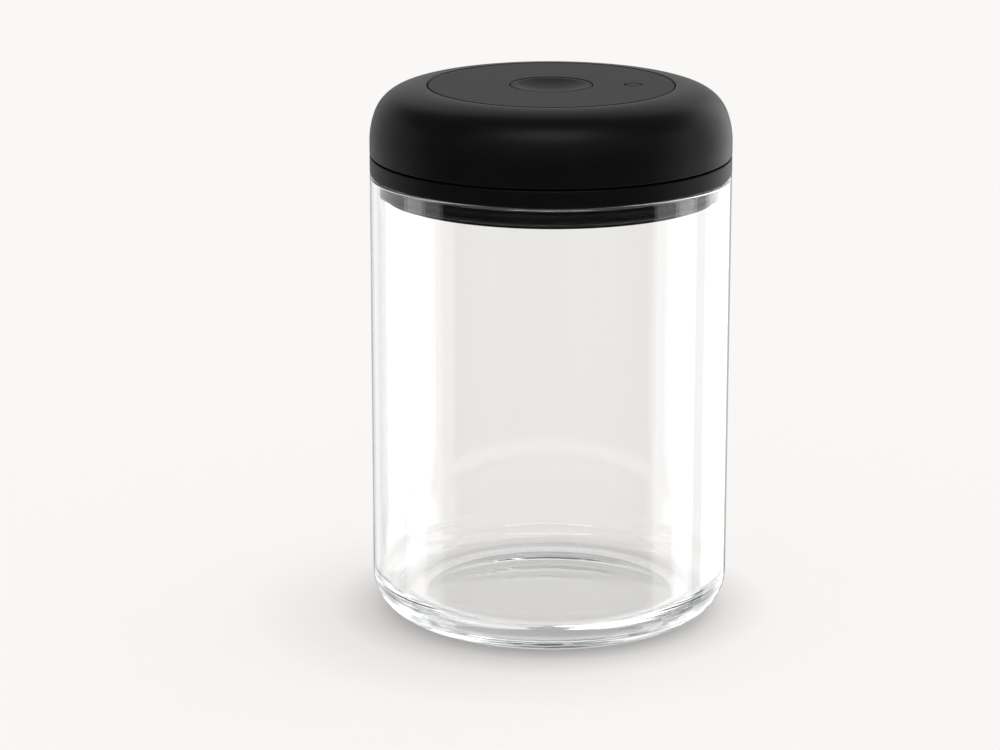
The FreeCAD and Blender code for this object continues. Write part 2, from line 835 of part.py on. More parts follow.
def make_cap():
    wall = S.cap_wall
    inner_in = (shoulder_in[0] - wall * blend_sin, shoulder_in[1] - wall * blend_cos)
    inner_out = (shoulder_out[0] - wall * blend_cos, shoulder_out[1] - wall * blend_sin)
    lip_inside = disc_radius - S.lip_reach
    body = turned("turning_cap", [
        (S.jar_radius - S.edge_round, cap_foot, S.edge_round),
        (S.jar_radius, cap_foot + S.edge_round),
        (S.jar_radius, side_start, side_radius),
        (shoulder_out[0], shoulder_out[1], S.shoulder_radius),
        (shoulder_in[0], shoulder_in[1], top_radius),
        (cap_mouth, cap_top),
        (cap_mouth, lip_top),
        (lip_inside, lip_top),
        (lip_inside, lip_foot),
        (cap_mouth + wall, lip_foot),
        (cap_mouth + wall, cap_top - wall),
        (inner_in[0], inner_in[1], -(S.shoulder_radius - wall)),
        (inner_out[0], inner_out[1], -(side_radius - wall)),
        (cap_inside, side_start),
        (cap_inside, rib_foot + S.rib_height),
        (rib_inside, rib_foot + S.rib_height),
        (rib_inside, rib_foot),
        (cap_inside, rib_foot),
        (cap_inside, cap_foot),
    ], turned_by=PIN_ANGLE)
    spots = [(cam_screw_ring, 0)]
    boss_height = (shoulder_in[1] + shoulder_out[1]) / 2 - cam_flange_top
    boss_radius = (S.cam_flange - S.cam_gap) / 2
    repeat(body, add_round(body, "cam", cam_flange_top, spots, boss_radius, boss_height), PIN_COUNT)
    depth = S.cam_screw_length - S.cam_flange_thickness + S.hole_spare
    repeat(body, cut_round(body, "pilot", cam_flange_top, spots, pilot_radius, depth, upward=True), PIN_COUNT)


def make_cam_ring():
    """A sleeve with three climbing slots. The slots run clockwise as they rise."""
    spare = math.degrees((S.roller_radius.number + S.slot_margin.number) / cam_bore.number)
    body = turned("cam_ring", [
        (cam_bore, cam_foot),
        (cam_radius, cam_foot),
        (cam_radius, cam_flange_foot),
        (cam_radius + S.cam_flange, cam_flange_foot),
        (cam_radius + S.cam_flange, cam_flange_top),
        (cam_radius, cam_flange_top),
        (cam_radius, cam_top),
        (cam_bore, cam_top),
    ], turned_by=PIN_ANGLE)
    spots = [(cam_screw_ring, 0)]
    repeat(body, cut_round(body, "screw", cam_flange_top, spots, pass_radius, S.cam_flange_thickness),
           PIN_COUNT)
    sweep = S.twist_angle + 2 * spare
    rise = stroke * sweep / S.twist_angle
    first = pin_level - stroke * spare / S.twist_angle
    sketch = new_sketch(body, "cam_slot", "XZ_Plane")
    sketch.AttachmentOffset.Rotation = FreeCAD.Rotation(FreeCAD.Vector(0, 1, 0), spare)
    draw_outline(sketch, [
        (cam_bore - S.cam_gap / 2, first - cam_slot_half),
        (cam_radius + S.cam_gap / 2, first - cam_slot_half),
        (cam_radius + S.cam_gap / 2, first + cam_slot_half),
        (cam_bore - S.cam_gap / 2, first + cam_slot_half),
    ])
    slot = body.newObject("PartDesign::SubtractiveHelix", "cam_slot_cut")
    slot.Profile = sketch
    slot.ReferenceAxis = (sketch, ["V_Axis"])
    slot.Mode = "height-turns-angle"
    slot.LeftHanded = True
    bind(slot, "Height", rise)
    bind(slot, "Turns", sweep / 360)
    repeat(body, slot, PIN_COUNT)


# The piston and what rides on it

def make_piston():
    half = (S.ring_wire + S.ring_play) / 2
    outer_groove = pump_bore - S.ring_clearance - S.ring_wire
    inner_groove = core_radius + S.ring_clearance + S.ring_wire
    body = turned("pump_piston", [
        (piston_inside, piston_foot),
        (piston_outside, piston_foot),
        (piston_outside, ring_level - half),
        (outer_groove, ring_level - half),
        (outer_groove, ring_level + half),
        (piston_outside, ring_level + half),
        (piston_outside, piston_top),
        (piston_inside, piston_top),
        (piston_inside, ring_level + half),
        (inner_groove, ring_level + half),
        (inner_groove, ring_level - half),
        (piston_inside, ring_level - half),
    ], turned_by=PIN_ANGLE)
    leg_top = pin_level + S.leg_rise
    sketch = new_sketch(body, "leg", "XZ_Plane")
    draw_outline(sketch, [
        (piston_outside - S.leg_wall, piston_top),
        (piston_outside, piston_top),
        (piston_outside, leg_top),
        (piston_outside - S.leg_wall, leg_top),
    ])
    leg = revolve(body, sketch)
    leg.Midplane = True
    bind(leg, "Angle", S.leg_angle)
    repeat(body, leg, PIN_COUNT)
    sketch = new_sketch(body, "pin_hole", "YZ_Plane")
    draw_circles(sketch, [(0, pin_level)], S.pin_radius + S.press_clearance)
    hole = body.newObject("PartDesign::Pocket", "pin_hole_cut")
    hole.Profile = sketch
    hole.Reversed = True
    bind(hole, "Length", pump_bore)
    repeat(body, hole, PIN_COUNT)
    outlet = [on_ring(valve_offset, -PIN_ANGLE)]
    cut_round(body, "outlet_stem", piston_top, outlet, S.valve_stem + S.press_clearance, S.piston_height)
    step = 360.0 / PORTS_PER_VALVE
    ring = [on_ring(S.port_ring, step * (number + 0.5)) for number in range(PORTS_PER_VALVE)]
    ports = [(outlet[0][0] + x, outlet[0][1] + y) for x, y in ring]
    cut_round(body, "outlet_ports", piston_top, ports, S.port_radius, S.piston_height)


def make_followers():
    inner_end = piston_outside - S.leg_wall - S.pin_reach
    outer_end = cam_radius - S.pin_reach
    body = new_body("follower_pins", PIN_ANGLE)
    pin = turn_across(body, pin_level, [
        (inner_end, 0),
        (outer_end, 0),
        (outer_end, S.pin_radius),
        (inner_end, S.pin_radius),
    ])
    repeat(body, pin, PIN_COUNT)
    body = new_body("follower_rollers", PIN_ANGLE)
    roller_bore = S.pin_radius + S.press_clearance
    roller = turn_across(body, pin_level, [
        (cam_bore + S.pin_reach, roller_bore),
        (outer_end, roller_bore),
        (outer_end, S.roller_radius),
        (cam_bore + S.pin_reach, S.roller_radius),
    ])
    repeat(body, roller, PIN_COUNT)


# The release button and its valve

def make_button():
    top = cap_top - S.button_sink
    land = S.button_radius - S.button_wall
    bow = (land * land + S.dish_depth * S.dish_depth) / (2 * S.dish_depth)
    web_under = top - S.dish_depth - S.button_web
    socket_top = web_under - S.press_clearance
    skirt_foot = top - S.button_skirt
    socket_radius = S.stem_radius + S.press_clearance
    boss_foot = socket_top - S.button_socket
    turned("release_button", [
        (0, socket_top),
        (socket_radius, socket_top),
        (socket_radius, boss_foot),
        (socket_radius + S.button_wall, boss_foot),
        (socket_radius + S.button_wall, web_under),
        (land, web_under),
        (land, skirt_foot),
        (S.button_radius, skirt_foot),
        (S.button_radius, top - S.edge_round, S.edge_round),
        (S.button_radius - S.edge_round, top),
        (land, top, -bow),
        (0, top - S.dish_depth),
    ])
    seal_foot = floor_under - S.release_seal
    retainer_foot = seal_foot - S.retainer_thickness
    clip_foot = retainer_foot - S.clip_thickness
    stem_foot = floor_under - S.stem_below
    groove = S.stem_radius - S.clip_groove
    turned("release_stem", [
        (0, stem_foot),
        (S.stem_radius, stem_foot),
        (S.stem_radius, clip_foot),
        (groove, clip_foot),
        (groove, retainer_foot),
        (S.stem_radius, retainer_foot),
        (S.stem_radius, socket_top),
        (0, socket_top),
    ])
    fit = S.stem_radius + S.press_clearance
    turned("release_seal", [
        (fit, seal_foot),
        (S.release_radius, seal_foot),
        (S.release_radius, floor_under),
        (fit, floor_under),
    ])
    turned("seal_retainer", [
        (fit, retainer_foot),
        (S.release_radius - S.edge_round, retainer_foot),
        (S.release_radius - S.edge_round, seal_foot),
        (fit, seal_foot),
    ])
    turned("stem_clip", [
        (groove + S.press_clearance, clip_foot),
        (S.clip_radius, clip_foot),
        (S.clip_radius, retainer_foot),
        (groove + S.press_clearance, retainer_foot),
    ])
    coil_spring("button_spring", S.spring_radius, S.spring_wire, well_bottom, web_under, BUTTON_SPRING_TURNS)


def make_all():
    make_jar()
    make_lid_base()
    make_gasket()
    make_cover()
    make_filter()
    make_valve("inlet_valve", -valve_offset, floor_under, rim)
    make_barrel()
    ring_radius = S.ring_wire / 2
    make_ring("barrel_seal", pump_bore + S.barrel_wall / 4 + ring_radius, rim + ring_radius, ring_radius)
    make_glide_ring()
    make_disc()
    make_indicator()
    make_cap()
    make_cam_ring()
    make_piston()
    make_ring("piston_outer_seal", pump_bore - S.ring_clearance - ring_radius, ring_level, ring_radius)
    make_ring("piston_inner_seal", core_radius + S.ring_clearance + ring_radius, ring_level, ring_radius)
    make_valve("outlet_valve", valve_offset, piston_foot, piston_top)
    make_followers()
    make_button()
    screw_ring("cover_screws", cover_screw_ring, SCREWS_BELOW, COVER_SCREW_ANGLE,
               cover_foot + S.flat_head_height, False, S.cover_screw_length, S.flat_head_height)
    screw_ring("barrel_screws", barrel_screw_ring, SCREWS_BELOW, BARREL_SCREW_ANGLE,
               barrel_foot_top, True, S.barrel_screw_length, S.head_height)
    screw_ring("disc_screws", disc_screw_ring, PIN_COUNT, 0.0,
               well_bottom, True, S.disc_screw_length, S.head_height)
    screw_ring("cam_screws", cam_screw_ring, PIN_COUNT, PIN_ANGLE,
               cam_flange_foot, False, S.cam_screw_length, S.head_height)


def write_all():
    doc.recompute()
    faults = [item.Label for item in doc.Objects if {"Invalid", "Error"} & set(item.State)]
    faults += [node.Label for node in nodes if node.Shape.isNull() or not node.Shape.isValid()]
    if faults:
        raise RuntimeError("failed pieces: " + ", ".join(faults))
    os.makedirs("parts", exist_ok=True)
    for node in nodes:
        node.Shape.exportStep(f"parts/{node.Label}.step")
        print(node.Label, len(node.Shape.Solids), round(node.Shape.Volume, 2))


make_all()
write_all()
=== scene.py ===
import math

import bmesh
import bpy
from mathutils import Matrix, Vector


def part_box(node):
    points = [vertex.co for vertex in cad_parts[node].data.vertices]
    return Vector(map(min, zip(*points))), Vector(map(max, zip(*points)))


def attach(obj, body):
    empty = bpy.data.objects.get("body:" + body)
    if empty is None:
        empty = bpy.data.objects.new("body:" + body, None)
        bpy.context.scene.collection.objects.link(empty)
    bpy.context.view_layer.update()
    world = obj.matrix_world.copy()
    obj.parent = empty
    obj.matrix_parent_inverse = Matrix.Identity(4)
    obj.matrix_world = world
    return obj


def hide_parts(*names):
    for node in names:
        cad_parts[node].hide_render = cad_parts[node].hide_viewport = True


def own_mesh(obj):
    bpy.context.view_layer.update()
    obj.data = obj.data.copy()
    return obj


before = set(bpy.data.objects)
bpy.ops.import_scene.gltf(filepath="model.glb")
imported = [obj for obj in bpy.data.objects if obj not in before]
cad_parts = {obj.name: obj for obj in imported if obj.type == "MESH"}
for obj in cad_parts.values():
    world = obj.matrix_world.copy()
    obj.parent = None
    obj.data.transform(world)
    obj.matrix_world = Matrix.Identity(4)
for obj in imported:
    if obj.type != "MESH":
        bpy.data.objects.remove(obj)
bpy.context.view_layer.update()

# Food canister: a clear glass jar with a matte black lid. The jar's axis is Z, and the photograph is taken
# from -Y. Lengths are in metres. The angles of the camera and of the studio are in degrees.

# Camera, fitted to the outlines of the jar and the lid
CAMERA_PLACE = (0.0, -1.1162, 0.38425)
CAMERA_TILT = 74.764
CAMERA_YAW = 0.864
CAMERA_LENS = 123.62
SENSOR_WIDTH = 36.0
CAMERA_FAR = 50.0

# Jar
JAR_WALL = 0.0030
JAR_FLOOR = 0.0060
JAR_CORNER = 0.0130
JAR_INNER_CORNER = 0.0100
RIM_ROUND = 0.0012
FOOT_LAND = 0.0050
FOOT_RECESS = 0.0012

# Turning cap
CAP_WALL = 0.0024
CAP_SIDE = 0.0041
SHOULDER_WIDTH = 0.0190
SHOULDER_RADIUS = 0.0127
SHOULDER_BLEND = math.radians(20.0)
LIP_REACH = 0.0024
LIP_DROP = 0.0025
LIP_THICKNESS = 0.0021
RIB_FOOT = 0.0011
RIB_HEIGHT = 0.0020

# Lid base
PLUG_GAP = 0.0022
PLUG_WALL = 0.0030
PLUG_DEPTH = 0.0073
FLOOR_THICKNESS = 0.0025
FLANGE_HEIGHT = 0.0058
FLANGE_WALL = 0.0075
FLANGE_ROUND = 0.0006
SPIGOT_WALL = 0.0019
SPIGOT_GAP = 0.0004
SPIGOT_HEIGHT = 0.0047
CORE_RADIUS = 0.0340
CORE_WALL = 0.0030
POST_RADIUS = 0.0120
STEM_BORE = 0.0028
GASKET_LAND = 0.0007
GASKET_HEIGHT = 0.0054
GASKET_SEAT = 0.0016
GASKET_GAP = 0.0002
GASKET_LIP = 0.0007
GASKET_ROUND = 0.0002
GASKET_STEPS = 5
EDGE_ROUND = 0.0004
PIN_ROUND = 0.0006
PIN_STEPS = 64

# Springs
BUTTON_WIRE = 0.0007
BUTTON_TURNS = 4
INDICATOR_WIRE = 0.0004
INDICATOR_TURNS = 6
CLOSED_PITCH = 1.05
COIL_STEPS = 40
WIRE_STEPS = 10

# Screws of the underside
SCREW_COUNT = 4
SCREW_RING = 0.04835
SCREW_ANGLE = math.radians(22.5)
SCREW_HEAD = 0.0019
SCREW_HEAD_HEIGHT = 0.0006
SCREW_RADIUS = 0.0010
SCREW_ROUND = 0.00015
THREAD_PITCH = 0.0005
THREAD_DEPTH = 0.0002
CROSS_ARMS = 4
CROSS_REACH = 0.62
CROSS_WIDTH = 0.24
CROSS_DEPTH = 0.75
CROSS_TAPER = 0.8

# Bosses and holes inside the lid
BOSS = 0.0025
PILOT = 0.00105
PILOT_SPARE = 0.0005
DRILL_LEAD = 0.0004
BARREL_SCREW_RING = 0.0501
BARREL_SCREW_ANGLE = math.radians(67.5)
DISC_SCREW_RING = 0.0085
DISC_SCREW_COUNT = 3
POCKET_BORE = 0.0080
POCKET_WALL = 0.0012
PORT = 0.0007
PORT_RING = 0.0029
PORT_COUNT = 6
VALVE_STEM = 0.00125
INDICATOR_PORT = 0.0012
CAM_BOSS = 0.0021
CAM_SCREW_GRIP = 0.0033
CAM_SCREW_RING = 0.0537
CAM_SCREW_ANGLE = math.radians(60.0)
CAM_SCREW_COUNT = 3
SEAL_PLAY = 0.0001
BAR_STEPS = 32
SLIVER = 0.000003

# Lathe
TURN_STEPS = 256
ROUND_STEPS = 10
SUPPORT = 0.0002
LONG_STRETCH = 10 * SUPPORT
ON_AXIS = 1e-9
SHARP_ANGLE = math.radians(40.0)

# Materials
PURE_WHITE = (1.0, 1.0, 1.0, 1.0)
SHELL_COLOUR = (0.0042, 0.0042, 0.0043)
DISC_COLOUR = (0.0050, 0.0050, 0.0051)
RING_COLOUR = (0.0038, 0.0038, 0.0039)
GREY_COLOUR = (0.19, 0.19, 0.20)
WHITE_COLOUR = (0.72, 0.71, 0.68)
GREEN_COLOUR = (0.05, 0.34, 0.10)
SOFT_BLACK_COLOUR = (0.0040, 0.0040, 0.0044)
SOFT_GREY_COLOUR = (0.22, 0.22, 0.22)
STEEL_DARK = (0.50, 0.50, 0.51)
STEEL_LIGHT = (0.64, 0.64, 0.63)
FELT_DARK = (0.42, 0.41, 0.38)
FELT_LIGHT = (0.62, 0.60, 0.56)
FELT_SHEEN = 0.3
TEXTURE_LOW = 0.3
TEXTURE_HIGH = 0.7
ROUGHNESS_PLAY = 0.05
DUST_DARK = 0.85
DUST_LIGHT = 1.25
SILICONE_GLOSS = 0.3
TOOL_MARK_SCALE = 1500.0
TOOL_MARK_DISTORTION = 1.5
GLASS_INDEX = 1.5
GLASS_TINT = (0.86, 0.93, 0.91, 1.0)
GLASS_DENSITY = 3.0

# Light may turn this often inside the thick glass before it is given up
GLASS_BOUNCES = 64

# Studio
BACKDROP_COLOUR = (0.956, 0.939, 0.922, 1.0)
FLOOR_COLOUR = (0.950, 0.932, 0.914, 1.0)
FLOOR_REACH = 6.0
FLOOR_GLOW = 0.8
FLOOR_GLASS_GLOW = 0.5

# Soft shadow on the floor: close around the foot, and wider on the side away from the light
STRAIGHT_UP = (0.0, 0.0, 1.0)
CONTACT_REACH = 0.018
CONTACT_SHADE = 0.4
TO_THE_LIGHT = (0.62, 0.5, 0.6)
SHADOW_REACH = 0.047
SHADOW_SHADE = 0.25
NEAR_SAMPLES = 16

# Surround. An angle to the side is counted from the camera, and a height from the horizon.
DOME_STRENGTH = 0.83
KEY_STRENGTH = 0.60
KEY_SPREAD = 40.0
KEY_TURN = (-14.0, 20.0, 0.0)
FRONT_SIDE = 66.0
LEFT_START = 74.0
RIGHT_START = 71.0
STRIP_START = 89.0
STRIP_END = 106.0
PANEL_END = 150.0
BACK_END = 181.0
PANEL_LEFT = 0.95
PANEL_RIGHT = 1.3
STRIP_GAIN = 1.6
FRONT_GLOW = 0.06
FRONT_LOW = 16.0
FRONT_HIGH_GLOW = 1.0
BACK_GLOW = 1.15
GAP_START = 163.0
GAP_DIMMED = 0.55
EDGE_START = 120.0
EDGE_END = 160.0
EDGE_GLOW = 1.6
TABLE_EDGE = -25.0
TABLE_GLOW = 0.92
HOOD_GLOW = 8.5
HOOD_LOW = 48.0
HOOD_HIGH = 76.0
HOOD_HALF_WIDTH = 40.0

# Dull surfaces mirror side panels that end lower, and on the left one that starts further round
DULL_START = 90.0
DULL_LEFT = 1.25
DULL_LEFT_TOP = 24.0
DULL_RIGHT_TOP = 29.0

# A ray mirrored once or more has a glossy depth above this
MIRRORED_ONCE = 0.5


# Meshes

def finish_mesh(name, vertices, faces, body, replaced, slot):
    mesh = bpy.data.meshes.new(name)
    mesh.from_pydata(vertices, [], faces)
    mesh.validate()
    mesh.shade_smooth()
    mesh.set_sharp_from_angle(angle=SHARP_ANGLE)
    piece = bpy.data.objects.new(name, mesh)
    bpy.context.scene.collection.objects.link(piece)
    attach(piece, body)
    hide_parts(replaced)
    return piece


def rounded_outline(corners):
    """Points of an outline in the (radius, height) plane. A corner's third number rounds it off."""
    points = []
    for number, corner in enumerate(corners):
        here = Vector(corner[:2])
        if len(corner) == 2:
            points.append(here)
            continue
        back = (Vector(corners[number - 1][:2]) - here).normalized()
        ahead = (Vector(corners[(number + 1) % len(corners)][:2]) - here).normalized()
        half = back.angle(ahead) / 2
        centre = here + (back + ahead).normalized() * (corner[2] / math.sin(half))
        reach = corner[2] / math.tan(half)
        first = here + back * reach - centre
        last = here + ahead * reach - centre
        sweep = first.angle_signed(last)
        for step in range(ROUND_STEPS + 1):
            points.append(centre + Vector(spun(first, -sweep * step / ROUND_STEPS)))
    return points


def spun(point, angle):
    """A point of a plane turned about the origin."""
    sine = math.sin(angle)
    cosine = math.cos(angle)
    return point[0] * cosine - point[1] * sine, point[0] * sine + point[1] * cosine


def arc(centre, radius, first, last):
    """Points of an arc from one angle above the horizontal to another."""
    angles = [first + (last - first) * step / ROUND_STEPS for step in range(ROUND_STEPS + 1)]
    return [Vector((centre[0] + radius * math.cos(angle), centre[1] + radius * math.sin(angle)))
            for angle in angles]


def supported(outline, closed):
    """Add a point close to each end of a long straight stretch, so that rounds don't tilt its shading."""
    points = []
    following = outline[1:] + outline[:1] if closed else outline[1:]
    for first, last in zip(outline, following):
        run = last - first
        points.append(first)
        if run.length > LONG_STRETCH and first.x + last.x > SUPPORT:
            points.append(first + run * (SUPPORT / run.length))
            points.append(last - run * (SUPPORT / run.length))
    if not closed:
        points.append(outline[-1])
    return points


def lathe(outline, closed=False, middle=(0.0, 0.0), turn_steps=TURN_STEPS):
    """Vertices and faces of an outline turned about an upright line. A closed one has no end on that line."""
    outline = supported(outline, closed)
    vertices = []
    rings = []
    for point in outline:
        if point.x < ON_AXIS:
            rings.append([len(vertices)])
            vertices.append((middle[0], middle[1], point.y))
            continue
        rings.append(list(range(len(vertices), len(vertices) + turn_steps)))
        for step in range(turn_steps):
            angle = 2 * math.pi * step / turn_steps
            x = middle[0] + point.x * math.cos(angle)
            y = middle[1] + point.x * math.sin(angle)
            vertices.append((x, y, point.y))
    faces = []
    if closed:
        rings.append(rings[0])
    for low, high in zip(rings, rings[1:]):
        for step in range(turn_steps):
            after = (step + 1) % turn_steps
            if len(low) == 1:
                faces.append((low[0], high[after], high[step]))
            elif len(high) == 1:
                faces.append((low[step], low[after], high[0]))
            else:
                faces.append((low[step], low[after], high[after], high[step]))
    return vertices, faces


def bar(middle, radius, low, high, bore=0.0):
    """An upright round bar or, with a bore, a tube."""
    corners = ((bore, low), (radius, low), (radius, high), (bore, high))
    return lathe([Vector(corner) for corner in corners], bore > 0, middle, BAR_STEPS)


def ring_places(radius, angle, count, middle=(0.0, 0.0)):
    """Places spread evenly on a ring, the first at an angle."""
    places = []
    for number in range(count):
        x, y = spun((radius, 0.0), angle + 2 * math.pi * number / count)
        places.append((middle[0] + x, middle[1] + y))
    return places


def taken_out(shell):
    """The vertices and faces of an edited mesh, which is then let go."""
    shell.verts.index_update()
    vertices = [vertex.co.copy() for vertex in shell.verts]
    faces = [[vertex.index for vertex in face.verts] for face in shell.faces]
    shell.free()
    return vertices, faces


def work_object(forms):
    """One passing object that holds several forms."""
    vertices = []
    faces = []
    for form_vertices, form_faces in forms:
        start = len(vertices)
        vertices += form_vertices
        faces += [[start + index for index in face] for face in form_faces]
    mesh = bpy.data.meshes.new("work")
    mesh.from_pydata(vertices, [], faces)
    work = bpy.data.objects.new("work", mesh)
    bpy.context.scene.collection.objects.link(work)
    return work


def drilled(turned, bosses, holes):
    """Vertices and faces of a turned form with bosses raised on it and then holes drilled in it."""
    base = work_object([turned])
    tools = [work_object(bosses), work_object(holes)]
    for operation, tool in zip(("UNION", "DIFFERENCE"), tools):
        change = base.modifiers.new(operation, "BOOLEAN")
        change.operation = operation
        change.solver = "EXACT"
        change.object = tool
    shell = bmesh.new()
    shell.from_object(base, bpy.context.evaluated_depsgraph_get())
    bmesh.ops.dissolve_degenerate(shell, dist=SLIVER, edges=shell.edges)
    vertices, faces = taken_out(shell)
    for work in [base] + tools:
        mesh = work.data
        bpy.data.objects.remove(work)
        bpy.data.meshes.remove(mesh)
    return vertices, faces


def make_jar():
    """The glass jar, with a shallow recess inside its ring-shaped foot."""
    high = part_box("glass_jar")[1]
    radius = high.x
    bore = radius - JAR_WALL
    foot = radius - JAR_CORNER - FOOT_LAND
    hollow = [Vector((foot * step / ROUND_STEPS, FOOT_RECESS * (1 - (step / ROUND_STEPS) ** 2)))
              for step in range(ROUND_STEPS)]
    outline = hollow + rounded_outline([
        (foot, 0.0),
        (radius, 0.0, JAR_CORNER),
        (radius, high.z, RIM_ROUND),
        (bore, high.z, RIM_ROUND),
        (bore, JAR_FLOOR, JAR_INNER_CORNER),
        (0.0, JAR_FLOOR),
    ])
    return finish_mesh("jar_glass", *lathe(outline), "jar", "glass_jar", "clear_glass")


def make_pin():
    """The indicator's pin, flush with the top disc and well rounded at its edge."""
    low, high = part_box("indicator_pin")
    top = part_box("top_disc")[1].z
    radius = (high.x - low.x) / 2
    seal_low, seal_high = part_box("indicator_seal")
    wire = seal_high.z - seal_low.z
    groove = (seal_high.x - seal_low.x) / 2 - wire
    outline = rounded_outline([
        (0.0, low.z),
        (radius, low.z),
        (radius, seal_low.z - SEAL_PLAY),
        (groove, seal_low.z - SEAL_PLAY),
        (groove, seal_high.z + SEAL_PLAY),
        (radius, seal_high.z + SEAL_PLAY),
        (radius, top, PIN_ROUND),
        (0.0, top),
    ])
    middle = ((low.x + high.x) / 2, (low.y + high.y) / 2)
    turned = lathe(outline, False, middle, PIN_STEPS)
    return finish_mesh("indicator_button", *turned, "indicator", "indicator_pin", "black_shell")


def make_spring(name, node, wire, turns):
    """A coil with closed ends, as long as the spring it stands in for."""
    low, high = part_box(node)
    middle = (low + high) / 2
    radius = (high.x - low.x - wire) / 2
    length = high.z - low.z
    end_pitch = wire * CLOSED_PITCH
    active_pitch = (length - wire - 2 * end_pitch) / (turns - 2)
    vertices = []
    for step in range(turns * COIL_STEPS + 1):
        turn = step / COIL_STEPS
        angle = 2 * math.pi * turn
        climb = min(turn, 1.0) * end_pitch + max(0.0, turn - turns + 1) * end_pitch
        climb += min(max(turn - 1, 0.0), turns - 2) * active_pitch
        for side in range(WIRE_STEPS):
            tilt = 2 * math.pi * side / WIRE_STEPS
            reach = radius + wire / 2 * math.cos(tilt)
            level = low.z + wire / 2 + climb + wire / 2 * math.sin(tilt)
            vertices.append((middle.x + reach * math.cos(angle), middle.y + reach * math.sin(angle), level))
    faces = []
    for step in range(turns * COIL_STEPS):
        start = step * WIRE_STEPS
        for side in range(WIRE_STEPS):
            after = (side + 1) % WIRE_STEPS
            faces.append((start + side, start + WIRE_STEPS + side, start + WIRE_STEPS + after, start + after))
    last = turns * COIL_STEPS * WIRE_STEPS
    faces.append(tuple(range(WIRE_STEPS)))
    faces.append(tuple(range(last + WIRE_STEPS - 1, last - 1, -1)))
    piece = finish_mesh(name, vertices, faces, "lid", node, "steel")
    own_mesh(piece)
    return piece


def make_cover_screws():
    """The underside's screws, each with a cross recess and a thread."""
    low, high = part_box("cover_screws")
    seat = low.z + SCREW_HEAD_HEIGHT
    ridges = int((high.z - seat - SCREW_RADIUS) / THREAD_PITCH)
    thread = []
    for ridge in range(ridges):
        thread.append((SCREW_RADIUS, seat + ridge * THREAD_PITCH))
        thread.append((SCREW_RADIUS - THREAD_DEPTH, seat + (ridge + 0.5) * THREAD_PITCH))
    outline = rounded_outline([
        (SCREW_HEAD - 2 * SCREW_ROUND, low.z),
        (SCREW_HEAD, low.z, SCREW_ROUND),
        (SCREW_HEAD, seat),
        *thread,
        (SCREW_RADIUS, seat + ridges * THREAD_PITCH),
        (0.0, high.z),
    ])
    vertices, faces = lathe(outline, False, (0.0, 0.0), PIN_STEPS)
    arm = SCREW_HEAD * CROSS_REACH
    half = arm * CROSS_WIDTH
    quarter = [(half, half), (half, arm), (-half, arm)]
    cross = []
    for number in range(CROSS_ARMS):
        cross += [spun(corner, 2 * math.pi * number / CROSS_ARMS) for corner in quarter]
    shell = bmesh.new()
    corners = [shell.verts.new(vertex) for vertex in vertices]
    for face in faces:
        shell.faces.new([corners[index] for index in face])
    rim = [edge for edge in shell.edges if edge.is_boundary]
    mouth = [shell.verts.new((x, y, low.z)) for x, y in cross]
    depth = low.z + SCREW_HEAD_HEIGHT * CROSS_DEPTH
    bottom = [shell.verts.new((x * CROSS_TAPER, y * CROSS_TAPER, depth)) for x, y in cross]
    following = list(range(1, len(cross))) + [0]
    slot_edges = [shell.edges.new((mouth[number], mouth[after])) for number, after in enumerate(following)]
    bmesh.ops.triangle_fill(shell, use_beauty=True, edges=rim + slot_edges)
    for number, after in enumerate(following):
        shell.faces.new((mouth[number], mouth[after], bottom[after], bottom[number]))
    shell.faces.new(bottom)
    bmesh.ops.recalc_face_normals(shell, faces=shell.faces)
    single, loops = taken_out(shell)
    vertices = []
    faces = []
    for number in range(SCREW_COUNT):
        angle = SCREW_ANGLE + 2 * math.pi * number / SCREW_COUNT
        start = len(vertices)
        for point in single:
            x, y = spun((point.x + SCREW_RING, point.y), angle)
            vertices.append((x, y, point.z))
        faces += [[start + index for index in loop] for loop in loops]
    return finish_mesh("cover_screw_heads", vertices, faces, "lid", "cover_screws", "steel")


